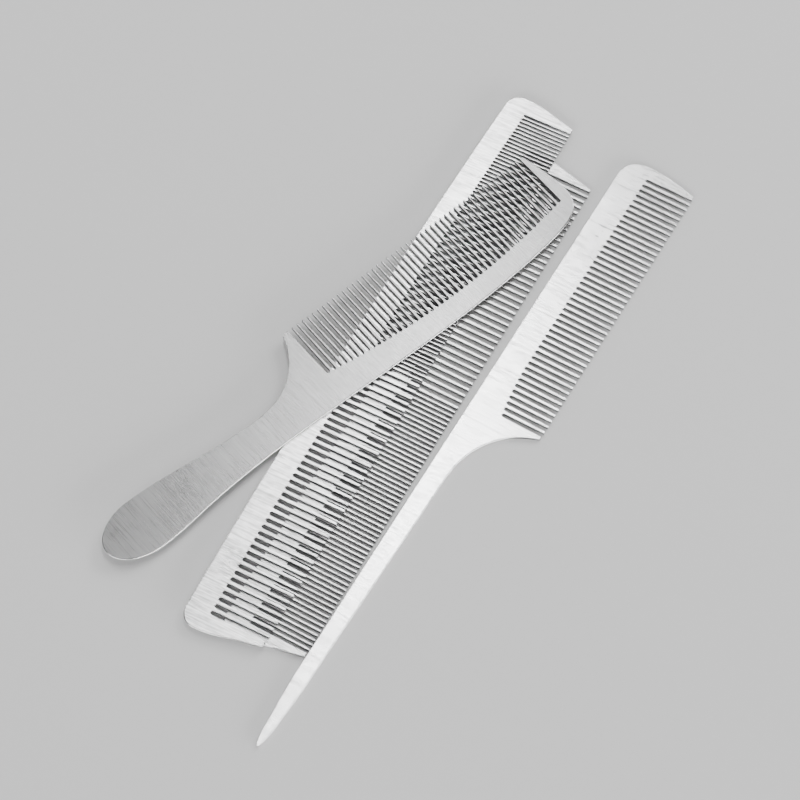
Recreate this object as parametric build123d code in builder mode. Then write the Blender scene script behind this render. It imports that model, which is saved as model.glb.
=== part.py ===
"""A set of four one-piece steel barber combs as they lie together: two straight combs and a handle comb,
stacked flat on each other, and a tail comb beside them on the same surface.

Millimetres, +Z up. The set stands on z = 0, with its origin under the middle of its outline. Each comb is
drawn in its own frame, with y along the comb from its low end and x across it, and is then laid in the set.
"""

import os
from dataclasses import dataclass
from math import cos, radians, sin, tan

from build123d import *

# ---- Driving dimensions: the sheet, and how the combs lie ----
sheet = 1.0  # thickness of the steel that each comb is cut from
lay_gap = 0.05  # air between two combs that lie on each other
side_gap = 0.25  # air between the tail comb's back and the lower comb's nose
upper_at = (-11.07, -4.16)  # the upper comb's frame, from the lower comb's
upper_turn = 1.6  # degrees counterclockwise from the lower comb
handle_at = (-47.76, 6.66)  # the handle comb's frame, from the lower comb's
handle_turn = -20.3
tail_turn = -1.235
tail_overhang = 25.2  # how far the tail's tip lies below the lower comb's low end

# ---- Driving dimensions: teeth ----
tip_bulge = 0.35  # how far a rounded tooth tip stands out, in tooth widths
coarse_gap = 1.27  # gap between coarse teeth, at its root
coarse_flare = 0.3  # and how much wider it is at its mouth
fine_gap = 0.95
fine_flare = 0.12
straight_spine = 7.4  # solid back of a straight comb, up to the gaps
arch_rise = 2.3  # where coarse teeth change to fine, the gaps get this much shallower
arch_reach = 10.0  # over this length on each side
end_bend = 30.0  # radius of the bend from a rounded corner to the end's slope


@dataclass
class StraightComb:
    """Sizes of a comb with a straight back, coarse teeth at one end and fine teeth at the other."""

    coarse_is_low: bool
    low_count: int  # gaps in the low half
    low_pitch: float
    high_count: int
    high_pitch: float
    change_tooth: float  # root width of the tooth between the two halves
    low_margin: float  # from the low end to the first gap's middle, as a share of the width
    high_margin: float
    width: float  # back to tooth tips, at the low end
    tip_lean: float  # how much wider it gets for each millimetre up
    back_curve: float  # the back follows x = back_curve * (y - back_apex) ** 2
    back_apex: float
    low_slope: float  # degrees, of the end from its bend to its nose
    high_slope: float
    corner: float = 5.0  # radius from back to end

    def __post_init__(self):
        coarse, fine = (coarse_gap, coarse_flare), (fine_gap, fine_flare)
        low, high = (coarse, fine) if self.coarse_is_low else (fine, coarse)
        first_low = self.low_margin * self.width
        last_low = first_low + (self.low_count - 1) * self.low_pitch
        first_high = last_low + low[0] / 2 + self.change_tooth + high[0] / 2
        self.change = (last_low + first_high) / 2
        self.gaps = [(first_low + i * self.low_pitch, *low) for i in range(self.low_count)]
        self.gaps += [(first_high + i * self.high_pitch, *high) for i in range(self.high_count)]
        self.length = self.gaps[-1][0] + self.high_margin * self.width

    def back(self, y):
        return self.back_curve * (y - self.back_apex) ** 2

    def tips(self, y):
        return self.width + self.tip_lean * y

    def root(self, y):
        nearness = max(0.0, 1 - abs(y - self.change) / arch_reach)
        return self.back(y) + straight_spine + arch_rise * nearness**1.5


lower = StraightComb(
    coarse_is_low=False, low_count=56, low_pitch=1.613, high_count=38, high_pitch=2.325,
    change_tooth=1.0, low_margin=0.2252, high_margin=0.229, width=26.2, tip_lean=-0.0015,
    back_curve=0.0, back_apex=95.0, low_slope=13.5, high_slope=14.5,
)
upper = StraightComb(
    coarse_is_low=True, low_count=41, low_pitch=2.345, high_count=70, high_pitch=1.4536,
    change_tooth=0.7, low_margin=0.2563, high_margin=0.2485, width=25.75, tip_lean=0.0088,
    back_curve=1.62e-4, back_apex=45.0, low_slope=13.5, high_slope=16.5,
)

# ---- Driving dimensions: the tail comb ----
tail_gap_count = 45
tail_pitch = 2.185
tail_gap = 1.2
tail_flare = 0.25
tail_first_gap = 125.4  # from the tail's tip to the lowest gap's middle
tail_spine = 8.42  # solid back, at the lowest gap
tail_spine_lean = 0.0037
tail_tips = 24.0  # back to tooth tips, at the lowest gap
tail_tip_lean = 0.0074
heel_curve = 103.0  # radius along which the lowest gaps get shallower
heel_curve_reach = 19.8
tail_heel = 1.65  # from the lowest gap's middle down to the heel's edge
tail_neck = 31.8  # length of the neck's curve, from heel to tail
tail_neck_width = 6.25  # the tail's width where the neck ends
tail_point_width = 4.8  # and where its point begins
tail_point = 23.0  # length of the point
tail_point_shape = [  # its outline across and down, in shares of its width and length
    (0.07, 0.65), (0.16, 0.3), (0.26, 0.09), (0.46, 0), (0.66, 0.09), (0.81, 0.3), (0.93, 0.65),
]
tail_neck_shape = [(0.05, 0.41), (0.286, 0.712), (0.626, 0.9)]  # in shares of its run and its length
tail_nose_drop = 3.2  # the top edge falls this far to its nose
tail_top_margin = 5.1
tail_corner = 6.8

# ---- Driving dimensions: the handle comb ----
handle_gap_count = 48
handle_pitch = 2.0
handle_gap = 1.15
handle_flare = 0.37
handle_slant = 1.36  # degrees from square to the comb
handle_first_gap = 87.25  # from the handle's round end to the lowest gap's middle, at its mouth
handle_tips = -13.8  # tooth tips at the lowest gap, from the grip's toothed side
handle_tip_lean = -0.0115
deepest_root = 9.45  # root of the gap halfway up the teeth
root_bow = 270.0  # radius of the curve that the roots follow
grip_width = 18.2
grip_end = 14.2  # length of the grip's half-elliptical end
waist = 60.0  # from the round end to the narrowest place
waist_width = 11.7
waist_inset = 3.65  # the waist's toothed side, from the grip's
handle_heel = 3.1  # from the lowest gap's middle down to the heel's edge
heel_nose_inset = 0.5
handle_back_bulge = 1.15  # how far the back stands out beyond the waist
handle_top_margin = 4.15
handle_nose_drop = 2.3  # the top edge falls this far to its nose
handle_grip_shape = (0.6, 0.67)  # a point of its toothed side, in shares of the waist's inset and height
handle_neck_point = (-4.0, 5.6)  # a point of the neck's curve: x, and how far below the heel's edge
handle_back_full = 31.0  # height above the heel's edge where the back stands out most
handle_back_dip = 6.0  # how much lower than halfway the back's narrowing is half done
handle_back_shape = [  # how far in from there the back comes, and how far below the top edge
    (0.9, 30.0), (2.4, 15.4), (4.3, 7.1), (7.7, 1.8), (12.2, 0.0), (19.5, 0.15),
]


def toothed_edge(gaps, tips, root, side=1, slope=0.0):
    """Draw a toothed edge into the open BuildLine, from the first gap's mouth to the last gap's.

    gaps lists each gap's middle at its mouth, its root width and its flare. tips and root give x at a height.
    side is 1 where the teeth point to +x. slope is how far a gap rises for each millimetre it goes in.
    """
    for (y, wide, flare), above in zip(gaps, gaps[1:] + [None]):
        tip = tips(y)
        depth = abs(root(y) - tip)
        straight = depth - wide / 2
        inner = tip - side * straight
        middle = y + slope * straight
        high_mouth = (tip, y + (wide + flare) / 2)
        Line((tip, y - (wide + flare) / 2), (inner, middle - wide / 2))
        ThreePointArc((inner, middle - wide / 2), (root(y), y + slope * depth), (inner, middle + wide / 2))
        Line((inner, middle + wide / 2), high_mouth)
        if above:
            next_mouth = (tips(above[0]), above[0] - (above[1] + above[2]) / 2)
            tooth = next_mouth[1] - high_mouth[1]
            top = (tip + side * tip_bulge * tooth, high_mouth[1] + tooth / 2)
            ThreePointArc(high_mouth, top, next_mouth)


def mouth_edge(gap, end):
    """The height of a gap's mouth edge, on the low side (end = -1) or the high side (end = 1)."""
    return gap[0] + end * (gap[1] + gap[2]) / 2


def straight_end(comb, base, up, slope, gap):
    """Draw one end of a straight comb: rounded corner, bend, slope and blunt nose up to the nearest gap."""
    back = comb.back(base + up * comb.corner)
    tip = comb.tips(gap[0])
    inset = comb.corner * (1 - cos(radians(45)))
    ThreePointArc(
        (back, base + up * comb.corner), (back + inset, base + up * inset), (back + comb.corner, base)
    )
    bend_end = (
        back + comb.corner + end_bend * sin(radians(slope)),
        base + up * end_bend * (1 - cos(radians(slope))),
    )
    half = radians(slope / 2)
    bend_middle = (back + comb.corner + end_bend * sin(half), base + up * end_bend * (1 - cos(half)))
    ThreePointArc((back + comb.corner, base), bend_middle, bend_end)
    nose = (tip, bend_end[1] + up * (tip - bend_end[0]) * tan(radians(slope)))
    Line(bend_end, nose)
    Line(nose, (tip, mouth_edge(gap, -up)))


def straight_outline(comb):
    """Draw the whole outline of a straight comb into the open BuildLine."""
    toothed_edge(comb.gaps, comb.tips, comb.root)
    straight_end(comb, 0, 1, comb.low_slope, comb.gaps[0])
    straight_end(comb, comb.length, -1, comb.high_slope, comb.gaps[-1])
    heights = (comb.corner, comb.length / 2, comb.length - comb.corner)
    ends = [(comb.back(y), y) for y in heights]
    if comb.back_curve:
        ThreePointArc(*ends)
    else:
        Line(ends[0], ends[-1])


def laid(x, y, turn, layer):
    """The plane a comb is drawn on: turned about its own frame's corner, on the given layer of the stack."""
    angle = radians(turn)
    return Plane(
        origin=(x, y, layer * (sheet + lay_gap)), x_dir=(cos(angle), sin(angle), 0), z_dir=(0, 0, 1)
    )


# ---- Lower straight comb: on the surface, its frame is the set's ----
with BuildPart() as lower_straight_comb:
    with BuildSketch(laid(0, 0, 0, 0)):
        with BuildLine():
            straight_outline(lower)
        make_face()
    extrude(amount=sheet)

# ---- Upper straight comb: on the lower one ----
with BuildPart() as upper_straight_comb:
    with BuildSketch(laid(*upper_at, upper_turn, 1)):
        with BuildLine():
            straight_outline(upper)
        make_face()
    extrude(amount=sheet)

# ---- Handle comb: on the upper comb, its teeth to the left ----
handle_gaps = [
    (handle_first_gap + i * handle_pitch, handle_gap, handle_flare) for i in range(handle_gap_count)
]
handle_top = handle_gaps[-1][0] + handle_top_margin
root_apex = (handle_gaps[0][0] + handle_gaps[-1][0]) / 2


def handle_tips_at(y):
    return handle_tips + handle_tip_lean * (y - handle_first_gap)


def handle_root_at(y):
    return deepest_root - (y - root_apex) ** 2 / (2 * root_bow)


with BuildPart() as handle_comb:
    with BuildSketch(laid(*handle_at, handle_turn, 2)):
        with BuildLine():
            toothed_edge(
                handle_gaps, handle_tips_at, handle_root_at, side=-1, slope=-tan(radians(handle_slant))
            )
            waist_left = (waist_inset, waist)
            waist_right = waist_inset + waist_width
            back = waist_right + handle_back_bulge
            heel_edge = handle_first_gap - handle_heel
            heel_nose = (handle_tips, heel_edge + heel_nose_inset)
            top_nose = (handle_tips_at(handle_top), handle_top - handle_nose_drop)
            EllipticalCenterArc(
                (grip_width / 2, grip_end), grip_width / 2, grip_end, start_angle=180, arc_size=180
            )
            grip_point = (waist_inset * handle_grip_shape[0], waist * handle_grip_shape[1])
            Spline((0, grip_end), grip_point, waist_left, tangents=((0, 1), (0, 1)))
            neck = Spline(
                waist_left,
                (handle_neck_point[0], heel_edge - handle_neck_point[1]),
                (handle_tips + heel_nose_inset, heel_edge),
                tangents=((0, 1), (-1, 0.4)),
            )
            Line(neck @ 1, heel_nose)
            Line(heel_nose, (handle_tips, mouth_edge(handle_gaps[0], -1)))
            Spline(
                (grip_width, grip_end),
                ((grip_width + waist_right) / 2, (grip_end + waist) / 2 - handle_back_dip),
                (waist_right, waist),
                (back, heel_edge + handle_back_full),
                *[(back - inset, handle_top - drop) for inset, drop in handle_back_shape],
                top_nose,
                tangents=((0, 1), (-1, -0.3)),
            )
            Line(top_nose, (handle_tips_at(handle_gaps[-1][0]), mouth_edge(handle_gaps[-1], 1)))
        make_face()
    extrude(amount=sheet)

# ---- Tail comb: on the surface, its back beside the lower comb's low nose ----
tail_gaps = [(tail_first_gap + i * tail_pitch, tail_gap, tail_flare) for i in range(tail_gap_count)]
tail_top = tail_gaps[-1][0] + tail_top_margin
lower_nose = (lower.tips(0), lower.gaps[0][0])
tail_at = (
    lower_nose[0] + side_gap + (lower_nose[1] + tail_overhang) * tan(radians(tail_turn)),
    -tail_overhang,
)


def tail_tips_at(y):
    return tail_tips + tail_tip_lean * (y - tail_first_gap)


def tail_root_at(y):
    curve = max(0.0, heel_curve_reach - (y - tail_first_gap))
    return tail_spine + tail_spine_lean * (y - tail_first_gap) + curve**2 / (2 * heel_curve)


with BuildPart() as tail_comb:
    with BuildSketch(laid(*tail_at, tail_turn, 0)):
        with BuildLine():
            toothed_edge(tail_gaps, tail_tips_at, tail_root_at)
            heel = (tail_tips, tail_first_gap - tail_heel)
            run = heel[0] - tail_neck_width
            foot = heel[1] - tail_neck
            top_nose = (tail_tips_at(tail_gaps[-1][0]), tail_top - tail_nose_drop)
            inset = tail_corner * (1 - cos(radians(45)))
            Spline(
                (0, tail_point),
                *[(across * tail_point_width, up * tail_point) for across, up in tail_point_shape],
                (tail_point_width, tail_point),
                tangents=((0, -1), (0, 1)),
            )
            Line((tail_point_width, tail_point), (tail_neck_width, foot))
            Spline(
                (tail_neck_width, foot),
                *[(tail_neck_width + out * run, foot + up * tail_neck) for out, up in tail_neck_shape],
                heel,
                tangents=((tail_neck_width - tail_point_width, foot - tail_point), (1, 0.4)),
            )
            Line(heel, (tail_tips, mouth_edge(tail_gaps[0], -1)))
            Line((0, tail_point), (0, tail_top - tail_corner))
            ThreePointArc(
                (0, tail_top - tail_corner), (inset, tail_top - inset), (tail_corner, tail_top)
            )
            TangentArc((tail_corner, tail_top), top_nose, tangent=(1, 0))
            Line(top_nose, (top_nose[0], mouth_edge(tail_gaps[-1], 1)))
        make_face()
    extrude(amount=sheet)

# ---- The set's origin is under the middle of its outline ----
lower_straight_comb.part.label = "lower_straight_comb"
upper_straight_comb.part.label = "upper_straight_comb"
handle_comb.part.label = "handle_comb"
tail_comb.part.label = "tail_comb"

combs = [lower_straight_comb.part, upper_straight_comb.part, handle_comb.part, tail_comb.part]
boxes = [comb.bounding_box() for comb in combs]
middle_x = (min(box.min.X for box in boxes) + max(box.max.X for box in boxes)) / 2
middle_y = (min(box.min.Y for box in boxes) + max(box.max.Y for box in boxes)) / 2

os.makedirs("parts", exist_ok=True)
for comb in combs:
    comb.locate(Location((-middle_x, -middle_y, 0)))
    export_step(comb, f"parts/{comb.label}.step")
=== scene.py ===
# %% [markdown]
# A set of four one-piece barber combs of brushed stainless steel, lying as they were put down: two straight
# combs and a handle comb stacked flat, and a tail comb beside them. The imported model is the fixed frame, so
# every piece takes its outline and its place from it, and this lesson adds what a sheet cut from steel has
# and a plain slab has not: rounded and polished edges, brush lines, smudges, and the light that shows them.

# %% Load the frame
import math

import bpy
import numpy as np
from mathutils import Matrix, Vector


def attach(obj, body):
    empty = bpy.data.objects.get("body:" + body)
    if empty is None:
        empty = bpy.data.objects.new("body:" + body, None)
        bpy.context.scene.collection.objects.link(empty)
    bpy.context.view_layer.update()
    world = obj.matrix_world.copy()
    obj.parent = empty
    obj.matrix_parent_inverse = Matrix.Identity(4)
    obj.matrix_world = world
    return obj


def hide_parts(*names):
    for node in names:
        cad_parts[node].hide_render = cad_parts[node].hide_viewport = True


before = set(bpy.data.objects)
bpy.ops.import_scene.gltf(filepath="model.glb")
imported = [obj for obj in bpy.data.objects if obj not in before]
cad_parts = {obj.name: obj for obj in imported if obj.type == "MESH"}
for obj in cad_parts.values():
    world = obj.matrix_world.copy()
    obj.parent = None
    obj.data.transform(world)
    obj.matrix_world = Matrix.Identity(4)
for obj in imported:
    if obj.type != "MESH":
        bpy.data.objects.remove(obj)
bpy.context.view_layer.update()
MM = 0.001
print("combs in the frame:", sorted(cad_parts))

# %% [markdown]
# Each comb starts from its outline. A flat sheet is fully told by that one closed loop, so it is read from
# the frame's own mesh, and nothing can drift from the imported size. The mesh is loose triangles, so corners
# that share a place are first made one. An edge that only one triangle of the upper face uses lies on the
# outline. Those edges come in any order, and they are put in line by doubling: knowing where one step leads
# gives where two steps lead, then four, so a loop of four thousand corners is in order after twelve rounds.

# %% Read an outline
GRID = 1e-7  # corners nearer than this are one


def outline_of(node):
    """The node's outline as an array of (x, y), and its lowest and highest z.

    Seen from above the outline runs counterclockwise, as the triangles of the upper face do.
    """
    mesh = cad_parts[node].data
    corners = np.empty(len(mesh.vertices) * 3)
    mesh.vertices.foreach_get("co", corners)
    triangles = np.empty(len(mesh.loops), int)
    mesh.loops.foreach_get("vertex_index", triangles)
    places, which = np.unique(
        np.round(corners.reshape(-1, 3) / GRID).astype(int), axis=0, return_inverse=True
    )
    triangles = which.reshape(-1)[triangles].reshape(-1, 3)
    high = places[:, 2].max()
    upper = triangles[(places[triangles][:, :, 2] == high).all(1)]
    start, end = upper.ravel(), np.roll(upper, -1, 1).ravel()
    on_rim = ~np.isin(start * len(places) + end, end * len(places) + start)
    step = np.zeros(len(places), int)
    step[start[on_rim]] = end[on_rim]
    order = start[on_rim][:1]
    while len(order) < on_rim.sum():
        order = np.concatenate([order, step[order]])
        step = step[step]
    loop = places[order[: on_rim.sum()]] * GRID
    return loop[:, :2], places[:, 2].min() * GRID, high * GRID


outlines = {node: outline_of(node) for node in sorted(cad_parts)}
for node, (loop, low, high) in outlines.items():
    print(node, "outline of", len(loop), "points, thick", round((high - low) / MM, 2), "mm")

# %% [markdown]
# A comb like this is cut from sheet, then tumbled and polished until no edge scratches the scalp. How much
# an edge is worn follows from where it is, and that can be told from the outline alone: its direction gives
# the way out of the sheet, and how fast it turns gives the bends.


# %% Directions and bends
def edges_of(loop):
    """Each edge's length, and its outward direction: the edge's own, turned a quarter to the right."""
    along = np.roll(loop, -1, 0) - loop
    length = np.linalg.norm(along, axis=1)
    along = along / length[:, None]
    return length, np.stack([along[:, 1], -along[:, 0]], 1)


def outward_at(loop):
    """At each corner, the move that takes both of its edges out by one.

    It is the sum of the two edges' outward directions, over 1 plus their dot product.
    """
    after = edges_of(loop)[1]
    before = np.roll(after, 1, 0)
    return (before + after) / (1 + (before * after).sum(1))[:, None]


def bend_at(loop):
    """At each corner, the bend and the place along the loop, and then the loop's whole length.

    The bend is the turn over half the length of the two edges: one over the radius, negative where hollow.
    """
    length, after = edges_of(loop)
    before = np.roll(after, 1, 0)
    turn = np.arcsin(np.clip(before[:, 0] * after[:, 1] - before[:, 1] * after[:, 0], -1, 1))
    bend = turn / ((length + np.roll(length, 1)) / 2)
    return bend, np.concatenate([[0], np.cumsum(length)[:-1]]), length.sum()


for node, (loop, low, high) in outlines.items():
    bend, place, total = bend_at(loop)
    print(node, "is", round(total / MM), "mm round, tightest bend", round(1 / bend.max() / MM, 2), "mm")

# %% [markdown]
# The backs and ends get a wide rounding, and the thin teeth only a small one. The rounding at a point follows
# from how far along the edge the nearest gap's end is: a tooth's edge is never farther than its own length.
# At a sharp turn, such as the tail's point, a wide rounding wouldn't fit, so it shrinks towards there.

# %% How round each edge is
TOOTH_ROUND = 0.12 * MM
BACK_ROUND = 0.36 * MM
TOOTH_REACH = 21 * MM  # edges nearer than this to a gap's end belong to teeth
REACH_BLEND = 5 * MM
GAP_END_RADIUS = 1.0 * MM  # a hollow curve tighter than this is a gap's end
TIGHT_SHARE = 0.6  # the most of a bend's radius that its rounding takes
EASE = 0.1  # how fast the rounding grows away from a bend


def backness_at(loop):
    """0 within a tooth's length of a gap's end, 1 on backs and ends, and a smooth rise between."""
    bend, place, total = bend_at(loop)
    ends = place[bend < -1 / GAP_END_RADIUS]
    ends = np.concatenate([ends - total, ends, ends + total])
    nearest = np.searchsorted(ends, place)
    away = np.minimum(place - ends[nearest - 1], ends[np.minimum(nearest, len(ends) - 1)] - place)
    share = np.clip((away - TOOTH_REACH) / REACH_BLEND, 0, 1)
    return share * share * (3 - 2 * share)


def rounding_at(loop):
    """The rounding radius at each corner, from the teeth's to the backs', and less near a tight bend.

    A bend of radius r leaves room for TIGHT_SHARE * r, and EASE more for each unit of length away from it.
    """
    bend, place, total = bend_at(loop)
    radius = TOOTH_ROUND + (BACK_ROUND - TOOTH_ROUND) * backness_at(loop)
    tight = bend > TIGHT_SHARE / (2 * BACK_ROUND)
    apart = np.abs(place[:, None] - place[tight][None])
    apart = np.minimum(apart, total - apart)
    room = TIGHT_SHARE / bend[tight][None] + EASE * apart
    return np.minimum(radius, room.min(1, initial=BACK_ROUND))


for node, (loop, low, high) in outlines.items():
    radius = rounding_at(loop) / MM
    print(node, "rounded by", radius.min().round(2), "to", radius.max().round(2), "mm")

# %% [markdown]
# The rounding starts on the face along a second loop, which lies inside the outline by the rounding radius.
# At a tooth's tip the edges are shorter than the rounding takes away from them, and moving them in turns
# them back on themselves. Such an edge has its two ends brought together, as a file would leave it. That can
# turn the next edge back, so it is done again until none is left.

# %% Where the rounding meets the face
MOST_ROUNDS = 60
BACKWARDS = -1e-15  # below what rounding errors give an edge that keeps its direction
NO_LENGTH = 1e-12


def face_loop(loop, radius):
    """The outline moved in by radius, where each edge that would run backwards shrinks to its middle."""
    inner = loop - outward_at(loop) * radius[:, None]
    along = np.roll(loop, -1, 0) - loop
    for _ in range(MOST_ROUNDS):
        reach = np.roll(inner, -1, 0) - inner
        backwards = (reach * along).sum(1) < BACKWARDS
        if not backwards.any():
            break
        middle = inner + reach / 2
        inner[backwards] = middle[backwards]
        inner[np.roll(backwards, 1)] = middle[backwards]
    return inner


for node, (loop, low, high) in outlines.items():
    inner = face_loop(loop, rounding_at(loop))
    shrunk = (np.linalg.norm(np.roll(inner, -1, 0) - inner, axis=1) < NO_LENGTH).sum()
    print(node, "has", shrunk, "edges that the rounding takes up whole")

# %% [markdown]
# The solid is the outline carried through the thickness with a rounded profile: a quarter circle from the
# upper face to the edge, a straight wall, and a quarter circle to the lower face. The normals are known
# exactly from the profile, and setting them one by one keeps the big faces flat while the edges shade
# smoothly.
# A bevel modifier could round the edges too, but it doesn't know teeth from backs.

# %% Rings of the rounded profile
ROUND_STEPS = 4
STRAIGHT = 0.999  # a ring with a larger share than this is an end of the straight wall


def rounded_rings(node):
    """The sheet's rings from top to bottom, as grids with a row for each ring and a column for each corner.

    At an angle a from the face to the wall, a ring lies between the face's loop and the outline by sin a,
    and below the face by radius * (1 - cos a), and its normal leans out by a. The lower half mirrors it.
    Returned are points, normals, rim, which is 0 on the faces and sin a elsewhere, and the wall mask, which
    is
    1 on the walls between teeth, where the material paints shade and adds roughness.
    """
    loop, low, high = outlines[node]
    radius = rounding_at(loop)
    inner = face_loop(loop, radius)
    angle = np.linspace(0, math.pi / 2, ROUND_STEPS + 1)
    angle = np.concatenate([angle, math.pi - angle[::-1]])[:, None]
    share = np.sin(angle)
    dip = radius * (1 - np.abs(np.cos(angle)))
    upper_half = np.arange(len(angle))[:, None] <= ROUND_STEPS
    height = np.where(upper_half, high - dip, low + dip)
    flat = inner[None] + (loop - inner)[None] * share[:, :, None]
    points = np.concatenate([flat, height[:, :, None]], 2)
    out = outward_at(loop)
    out = out / np.linalg.norm(out, axis=1)[:, None]
    lean = np.broadcast_to(np.cos(angle), height.shape)
    normals = np.concatenate([out[None] * share[:, :, None], lean[:, :, None]], 2)
    rim = np.broadcast_to(share, height.shape)
    # The walls between the teeth are marked for painted shade, which the material takes out of their grey.
    painted_shade_wall = (share > STRAIGHT) * (1 - backness_at(loop))
    return points, normals, rim, painted_shade_wall


rings = {node: rounded_rings(node) for node in outlines}
for node, (points, *_) in rings.items():
    print(node, "has", points.shape[0], "rings of", points.shape[1], "points")

# %% [markdown]
# Every ring has the same number of points, so the wall is a plain grid of four-sided faces, and one wide
# face closes it above and one below. Where an edge was shrunk to a point, its four-sided face has two
# corners in one place. Those corners are made one, and the face becomes a triangle.

# %% Close the rings into a solid
SAME_PLACE = 1e-9


def faces_of(points):
    """The points to keep, as indices into the flattened grid, and the faces that join them."""
    ring = np.arange(points.shape[0] * points.shape[1]).reshape(points.shape[:2])
    beside = np.roll(ring, -1, 1)
    wall = np.stack([ring[:-1], ring[1:], beside[1:], beside[:-1]], 2).reshape(-1, 4)
    _, kept, which = np.unique(
        np.round(points.reshape(-1, 3) / SAME_PLACE).astype(int),
        axis=0,
        return_index=True,
        return_inverse=True,
    )
    which = which.reshape(-1)
    wall = which[wall]
    caps = [which[ring[0]], which[ring[-1]][::-1]]
    caps = [cap[cap != np.roll(cap, 1)] for cap in caps]
    at_top, at_bottom = wall[:, 0] == wall[:, 3], wall[:, 1] == wall[:, 2]
    faces = [
        *wall[~(at_top | at_bottom)].tolist(),
        *wall[at_top][:, :3].tolist(),
        *wall[at_bottom][:, [0, 1, 3]].tolist(),
        *[cap.tolist() for cap in caps],
    ]
    return kept, faces


solids = {node: faces_of(points) for node, (points, *_) in rings.items()}
print({node: len(faces) for node, (kept, faces) in solids.items()}, "faces")

# %% [markdown]
# Now the meshes can be made. Each takes the place of its comb in the frame and rides on its comb's body, so
# it lifts off the set as the comb does. The two measures of the edge go along as attributes, and the
# material reads them later.


# %% Build the combs
def rounded_sheet(name, node):
    """A sheet with rounded edges, on the node's outline."""
    points, normals, rim, painted_shade_wall = rings[node]
    kept, faces = solids[node]
    mesh = bpy.data.meshes.new(name)
    mesh.from_pydata(points.reshape(-1, 3)[kept].tolist(), [], faces)
    mesh.polygons.foreach_set("use_smooth", np.ones(len(faces), bool))
    mesh.normals_split_custom_set_from_vertices(normals.reshape(-1, 3)[kept].tolist())
    for attribute, values in (("rim", rim), ("painted_shade_wall", painted_shade_wall)):
        data = mesh.attributes.new(attribute, "FLOAT", "POINT").data
        data.foreach_set("value", values.ravel()[kept].astype(np.float32))
    piece = bpy.data.objects.new(name, mesh)
    bpy.context.scene.collection.objects.link(piece)
    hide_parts(node)
    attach(piece, node)
    return piece


pieces = {node: rounded_sheet(f"{node}_steel", node) for node in outlines}
for node, piece in pieces.items():
    print(piece.name, "stands for", node)

# %% [markdown]
# Shader graphs are easier to read as arithmetic. This class wraps a socket, and each operator on it adds the
# Math node that works it out. Any other node comes from one function, which sets the node's settings first
# and then its sockets.


# %% Shader arithmetic
class Value:
    """One output socket of a shader graph, on which + - and * can be used."""

    def __init__(self, socket):
        self.socket = socket

    def _math(self, operation, first, second):
        tree = self.socket.id_data
        return add_node(tree, "ShaderNodeMath", {"operation": operation}, {0: first, 1: second})

    def __add__(self, other):
        return self._math("ADD", self, other)

    def __sub__(self, other):
        return self._math("SUBTRACT", self, other)

    def __mul__(self, other):
        return self._math("MULTIPLY", self, other)

    def __rsub__(self, other):
        return self._math("SUBTRACT", other, self)

    __radd__ = __add__
    __rmul__ = __mul__


def add_node(tree, kind, settings, values, output=0):
    """Add a node, and give its output as a Value.

    settings are the node's own properties, and values fill or link its sockets.
    """
    node = tree.nodes.new(kind)
    for key, value in settings.items():
        setattr(node, key, value)
    for key, value in values.items():
        if isinstance(value, Value):
            tree.links.new(value.socket, node.inputs[key])
        else:
            node.inputs[key].default_value = value
    return Value(node.outputs[output]) if node.outputs else None


def empty_material(name):
    """A new material and its node tree, with nothing in it."""
    material = bpy.data.materials.new(name)
    material.use_nodes = True
    material.node_tree.nodes.clear()
    return material, material.node_tree


def grey_surface(tree, red_green, blue, **sockets):
    """A Principled surface whose colour is a grey: one value for red and green, and one for blue."""
    channels = {"Red": red_green, "Green": red_green, "Blue": blue}
    colour = add_node(tree, "ShaderNodeCombineColor", {"mode": "RGB"}, channels)
    shader = add_node(tree, "ShaderNodeBsdfPrincipled", {}, {"Base Color": colour, **sockets})
    add_node(tree, "ShaderNodeOutputMaterial", {}, {"Surface": shader})


print("a Value can be added, subtracted and multiplied, from either side")

# %% [markdown]
# The combs are brushed across their length on a belt, which leaves fine straight lines from back to teeth.
# Noise makes them when its place is squeezed one way and drawn out the other. A Map Range node then picks
# out only the highest parts of one such layer, for the few scratches that stand alone.


# %% Noise drawn out into lines
def stretched(tree, place, shift, per_metre, detail=2.0, roughness=0.6):
    """Noise drawn out into lines: its place is scaled differently along x and along y, then shifted.

    per_metre is how many there are to a metre along the lines, and how many across them.
    """
    along, across = per_metre
    mapping = {"Vector": place, "Scale": (along, across, along), "Location": (shift, shift, 0)}
    scaled = add_node(tree, "ShaderNodeMapping", {"vector_type": "POINT"}, mapping)
    noise = {"Vector": scaled, "Scale": 1.0, "Detail": detail, "Roughness": roughness}
    return add_node(tree, "ShaderNodeTexNoise", {"noise_dimensions": "3D"}, noise, "Fac")


def even_noise(tree, place, per_metre, shift):
    """Plain noise with the same grain every way."""
    return stretched(tree, place, shift, (per_metre, per_metre), 3.0, 0.55)


def above(tree, value, low, high):
    """0 up to low, 1 from high, and a smooth rise between."""
    limits = {"Value": value, "From Min": low, "From Max": high}
    return add_node(tree, "ShaderNodeMapRange", {"interpolation_type": "SMOOTHSTEP"}, limits)


HAIR_LINES = (45, 5200)
STREAKS = (190, 2300)
BOLD_LINES = (28, 1100)
SCRATCHES = (60, 420)
SMUDGES = 55
MOTTLE = 420
for name, (along, across) in (("hair lines", HAIR_LINES), ("streaks", STREAKS), ("bold lines", BOLD_LINES)):
    print(name, "about", round(1 / across / MM, 2), "mm apart and", round(1 / along / MM), "mm long")
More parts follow.
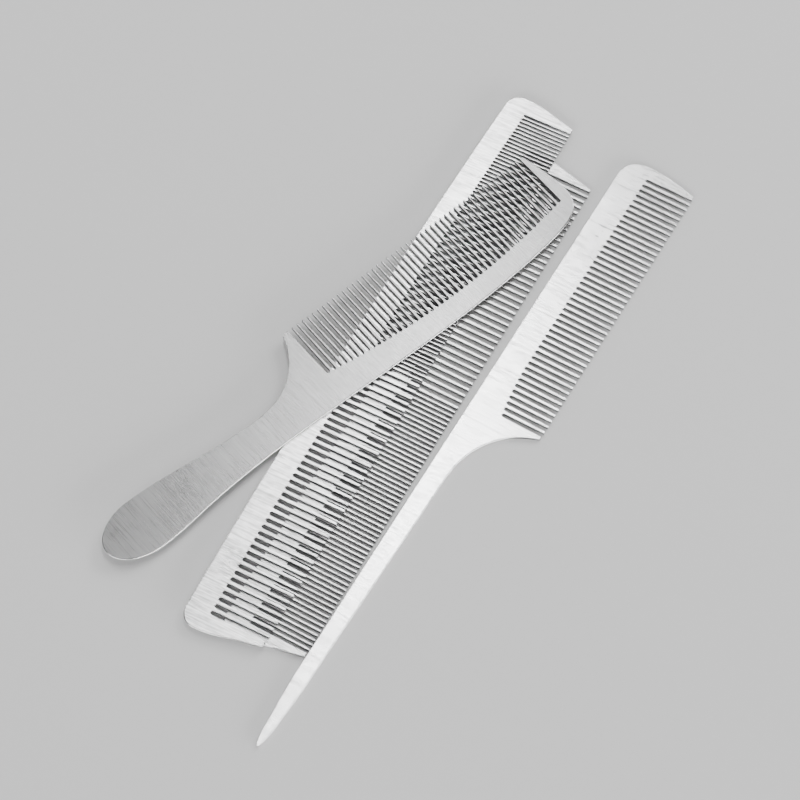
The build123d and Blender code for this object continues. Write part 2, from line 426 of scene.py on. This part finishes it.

# %% [markdown]
# Four layers of lines make the brushing: hair-fine lines, short streaks, bolder lines that the eye can
# follow, and a few single scratches. Smudges and the slight unevenness of the sheet come from plain noise.
# Lines and smudges change the grey and the roughness a little, and the lines are also cut into the surface
# by a bump of a hundredth of a millimetre. The rounded edges were tumbled after the brushing, so they are
# smoother and brighter. The walls between the teeth get painted shade: most of their grey is taken away, as
# if they mirrored only dark surroundings, and they are made rougher. The lines have to follow each comb, so a
# Mapping node turns the pattern by the comb's own angle.

# %% Brushed steel
EDGE_GREY = 0.92
# A wall between teeth loses this share of its grey as painted shade.
WALL_SHADE = 0.72  # how much of its grey a wall between teeth loses
COOL_TINT = 1.004  # blue over red and green
SCRATCH_LEVELS = (0.68, 0.74)  # the noise that starts a scratch, and that makes a whole one


def brushed_steel(name, turn, grey_with_painted_light, roughness, contrast, relief_depth, seed):
    """Stainless steel brushed across a comb that lies turned by turn degrees.

    The grey of its face is the steel's own grey with painted light and shade, lighter or darker per comb for
    the light that comb catches. contrast is how strongly its lines and smudges show, and relief_depth is how
    deep the lines are cut. The grey is the face's grey * (1 + layers * contrast), where each layer is a noise
    less its middle value, times its own weight.
    """
    material, tree = empty_material(name)
    spot = add_node(tree, "ShaderNodeTexCoord", {}, {}, "Object")
    turned_spot = {"Vector": spot, "Rotation": (0, 0, -math.radians(turn))}
    place = add_node(tree, "ShaderNodeMapping", {"vector_type": "POINT"}, turned_spot)
    rim = add_node(tree, "ShaderNodeAttribute", {"attribute_name": "rim"}, {}, "Fac")
    wall = add_node(tree, "ShaderNodeAttribute", {"attribute_name": "painted_shade_wall"}, {}, "Fac")
    face = 1 - rim
    hair = stretched(tree, place, seed, HAIR_LINES)
    streaks = stretched(tree, place, seed + 9, STREAKS)
    bold = stretched(tree, place, seed + 7, BOLD_LINES, 3.0)
    scratch = above(tree, stretched(tree, place, seed + 3, SCRATCHES, 1.0), *SCRATCH_LEVELS)
    smudge = even_noise(tree, place, SMUDGES, seed + 11)
    mottle = even_noise(tree, place, MOTTLE, seed + 5)
    uneven = (hair - 0.5) * 0.5 + (streaks - 0.5) * 0.9 + (bold - 0.5) * 0.7
    blotches = (smudge - 0.5) * 0.35 + (mottle - 0.5) * 0.3
    # Painted light and shade: the face's grey is set lighter or darker per comb for the light each comb
    # catches.
    shade = grey_with_painted_light * (1 + (uneven + blotches) * contrast)
    # Painted shade: the walls between teeth lose most of their grey, standing in for dark reflections and
    # shadow.
    shade = (shade * face + rim * EDGE_GREY) * (1 - wall * WALL_SHADE)
    lines = hair * 0.6 + bold * 0.4
    rough = roughness + (lines - 0.5) * 0.12 + (smudge - 0.5) * 0.10 - rim * 0.12 + wall * 0.25
    height = (hair * 0.9 + bold * 0.8 - scratch * 0.3) * face + mottle * 0.15
    cut = {"Strength": 1.0, "Distance": relief_depth, "Height": height}
    relief = add_node(tree, "ShaderNodeBump", {}, cut)
    grey_surface(tree, shade, shade * COOL_TINT, Metallic=1.0, Roughness=rough, Normal=relief)
    return material


# %% [markdown]
# Each comb takes the light a little differently, and part of that is painted into its grey: the handle comb,
# turned by twenty degrees, gets the darkest grey as painted shade and looks the darkest and the smoothest,
# and the tail comb gets the brightest grey as painted light. Turn, grey, roughness, contrast and depth of the
# lines are all that differs. Each has its own seed too, or all four would carry the same pattern.

# %% Give each comb its finish
BRUSHED = 0.013 * MM
SATIN = 0.005 * MM
# Each comb's grey here is painted light and shade on one steel: darkest on the handle comb, brightest on the
# tail comb.
finishes = {
    "lower_straight_comb": (
        "lower_comb_steel",
        dict(turn=0.0, grey_with_painted_light=0.60, roughness=0.29, contrast=1.8, relief_depth=BRUSHED, seed=10.0),
    ),
    "upper_straight_comb": (
        "upper_comb_steel",
        dict(turn=1.6, grey_with_painted_light=0.75, roughness=0.29, contrast=1.8, relief_depth=BRUSHED, seed=20.0),
    ),
    "handle_comb": (
        "handle_comb_steel",
        dict(turn=-20.3, grey_with_painted_light=0.30, roughness=0.28, contrast=0.5, relief_depth=SATIN, seed=30.0),
    ),
    "tail_comb": (
        "tail_comb_steel",
        dict(turn=-1.235, grey_with_painted_light=0.90, roughness=0.26, contrast=1.9, relief_depth=BRUSHED, seed=40.0),
    ),
}
for node, (slot, finish) in finishes.items():
    pieces[node].data.materials.append(brushed_steel(slot, **finish))
    print(slot, "brushed at", finish["turn"], "degrees")

# %% [markdown]
# The floor is plain and pale. It lies a hair below the combs, because two surfaces in exactly the same place
# flicker. Its own faint grain keeps the shadows from looking like paper cut-outs.

# %% Floor
FLOOR_HALF = 1.6
FLOOR_DROP = 0.02 * MM
FLOOR_GREY = 0.74
FLOOR_GRAIN = 300

corner = np.array([(-1, -1), (1, -1), (1, 1), (-1, 1)]) * FLOOR_HALF
floor_mesh = bpy.data.meshes.new("floor")
floor_mesh.from_pydata([(x, y, -FLOOR_DROP) for x, y in corner.tolist()], [], [(0, 1, 2, 3)])
floor = bpy.data.objects.new("floor", floor_mesh)
bpy.context.scene.collection.objects.link(floor)
floor_material, floor_tree = empty_material("pale_floor")
floor_place = add_node(floor_tree, "ShaderNodeTexCoord", {}, {}, "Object")
grain = even_noise(floor_tree, floor_place, FLOOR_GRAIN, 1.0)
pale = FLOOR_GREY + (grain - 0.5) * 0.02
grey_surface(floor_tree, pale, pale, Roughness=0.7)
floor_mesh.materials.append(floor_material)
print("floor", 2 * FLOOR_HALF, "m wide,", round(FLOOR_DROP / MM, 2), "mm below the combs")

# %% [markdown]
# The camera looks down from in front and to the right, through a long lens. It is set by the point it aims
# at, its distance, and two angles, with a slight tilt of the horizon.

# %% Camera
AIM = Vector((4.0 * MM, 0.0, 0.0))
DISTANCE = 0.705
AZIMUTH, ELEVATION, ROLL = (math.radians(angle) for angle in (28.0, 61.65, 1.1))
LENS = 105.9

away = Vector(
    (
        math.sin(AZIMUTH) * math.cos(ELEVATION),
        -math.cos(AZIMUTH) * math.cos(ELEVATION),
        math.sin(ELEVATION),
    )
)
camera_data = bpy.data.cameras.new("camera")
camera_data.lens = LENS
camera = bpy.data.objects.new("camera", camera_data)
bpy.context.scene.collection.objects.link(camera)
turned = (-away).to_track_quat("-Z", "Y").to_matrix().to_4x4() @ Matrix.Rotation(ROLL, 4, "Z")
camera.matrix_world = Matrix.Translation(AIM + away * DISTANCE) @ turned
bpy.context.scene.camera = camera
print("camera right", [round(x, 4) for x in turned.col[0]], "up", [round(x, 4) for x in turned.col[1]])

# %% [markdown]
# Steel has no colour of its own to speak of: it shows what stands around it. The flat faces mirror one part
# of the room to the camera, so a long narrow strip hangs there, inside a wide dim panel. Faces that mirror
# the strip are the brightest, and the shine falls away from there along each comb, which a plain wide light
# alone wouldn't do. A low light on the right draws the bright line on the rounded edges, and wide ones
# behind, in front and on the left light the floor, and give the steel something to show from other sides.


# %% Lights
def soft_light(name, place, size, glow):
    """An area light of size (wide, deep) in metres at a place, facing the combs.

    glow is how bright its own face is, so its power is glow * pi * its area.
    """
    data = bpy.data.lights.new(name, "AREA")
    data.shape = "RECTANGLE"
    data.size, data.size_y = size
    data.energy = glow * math.pi * size[0] * size[1]
    light = bpy.data.objects.new(name, data)
    bpy.context.scene.collection.objects.link(light)
    toward = Vector(place) - AIM
    facing = toward.to_track_quat("Z", "Y").to_matrix().to_4x4()
    light.matrix_world = Matrix.Translation(Vector(place)) @ facing
    print(name, "light of", round(data.energy, 1), "W")


soft_light("strip", (-0.195, 0.42, 1.10), (0.09, 0.9), 21)
soft_light("panel", (-0.31, 0.58, 1.22), (1.5, 1.5), 0.27)
soft_light("right", (1.25, -0.35, 0.17), (2.0, 0.3), 18)
soft_light("behind", (0.40, 2.15, 1.15), (1.6, 1.0), 8)
soft_light("front", (-0.20, -2.15, 1.05), (2.4, 0.9), 6)
soft_light("left", (-2.0, 0.95, 0.80), (2.0, 0.9), 2.5)

ROOM_GLOW = 0.10
world = bpy.data.worlds.new("studio")
world.use_nodes = True
room = world.node_tree.nodes["Background"]
room.inputs["Color"].default_value = (1, 1, 1, 1)
room.inputs["Strength"].default_value = ROOM_GLOW
bpy.context.scene.world = world
